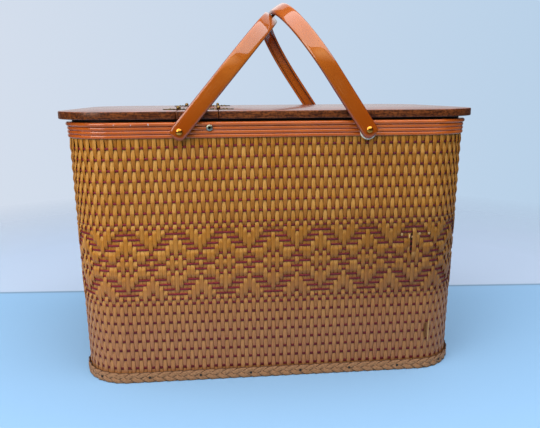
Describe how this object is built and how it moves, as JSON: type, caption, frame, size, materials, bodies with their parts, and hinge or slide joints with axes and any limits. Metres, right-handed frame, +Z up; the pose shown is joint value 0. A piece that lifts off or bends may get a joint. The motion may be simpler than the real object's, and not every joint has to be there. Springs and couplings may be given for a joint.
{
  "type": "picnic basket",
  "caption": "Oblong woven picnic basket on a board floor, with a ribbed rim band, a hinged split wooden lid and two swinging arch handles that meet over the lid.",
  "frame": {"origin": "on the ground under the middle of the basket", "axes": "+X along the lid towards its long flap, +Y from front to back, +Z up"},
  "size_m": [0.508, 0.343, 0.457],
  "materials": {
    "weave": "varnished split wood weave",
    "braid": "dull plaited grass",
    "floor_wood": "plain board",
    "hoop_wood": "bent wood",
    "lid_wood": "stained and varnished",
    "enamel": "gloss copper-brown enamel",
    "brass": "aged brass",
    "steel": "bright",
    "washer": "bright zinc"
  },
  "bodies": {
    "basket": {"woven_body": "weave", "floor_board": "floor_wood", "foot_braid": "braid", "rim_band": "enamel", "inner_hoop": "hoop_wood", "lid_bar": "lid_wood", "bar_cleat_rear": "hoop_wood", "bar_cleat_front": "hoop_wood", "bar_screw_rear": "steel", "bar_screw_front": "steel", "left_rivet_rear": "brass", "left_washer_rear": "washer", "left_hinge_rear_bar_leaf": "brass", "left_hinge_rear_pin": "brass", "left_rivet_front": "brass", "left_washer_front": "washer", "left_hinge_front_bar_leaf": "brass", "left_hinge_front_pin": "brass", "right_rivet_rear": "brass", "right_washer_rear": "washer", "right_hinge_rear_bar_leaf": "brass", "right_hinge_rear_pin": "brass", "right_rivet_front": "brass", "right_washer_front": "washer", "right_hinge_front_bar_leaf": "brass", "right_hinge_front_pin": "brass"},
    "left_flap": {"left_flap": "lid_wood", "left_hinge_front_flap_leaf": "brass", "left_hinge_rear_flap_leaf": "brass"},
    "right_flap": {"right_flap": "lid_wood", "right_hinge_front_flap_leaf": "brass", "right_hinge_rear_flap_leaf": "brass"},
    "left_handle": {"left_handle": "enamel"},
    "right_handle": {"right_handle": "enamel"}
  },
  "joints": [
    {"name": "left_flap_hinge", "type": "hinge", "parent": "basket", "child": "left_flap", "pos_m": [-0.1115, 0, 0.332], "axis": [0, 1, 0], "range_deg": [0, 110]},
    {"name": "right_flap_hinge", "type": "hinge", "parent": "basket", "child": "right_flap", "pos_m": [-0.0635, 0, 0.332], "axis": [0, -1, 0], "range_deg": [0, 22]},
    {"name": "left_handle_pivot", "type": "hinge", "parent": "basket", "child": "left_handle", "pos_m": [-0.1077, 0, 0.307], "axis": [0, -1, 0], "range_deg": [0, 158]},
    {"name": "right_handle_pivot", "type": "hinge", "parent": "basket", "child": "right_handle", "pos_m": [0.1077, 0, 0.307], "axis": [0, 1, 0], "range_deg": [0, 152]}
  ]
}
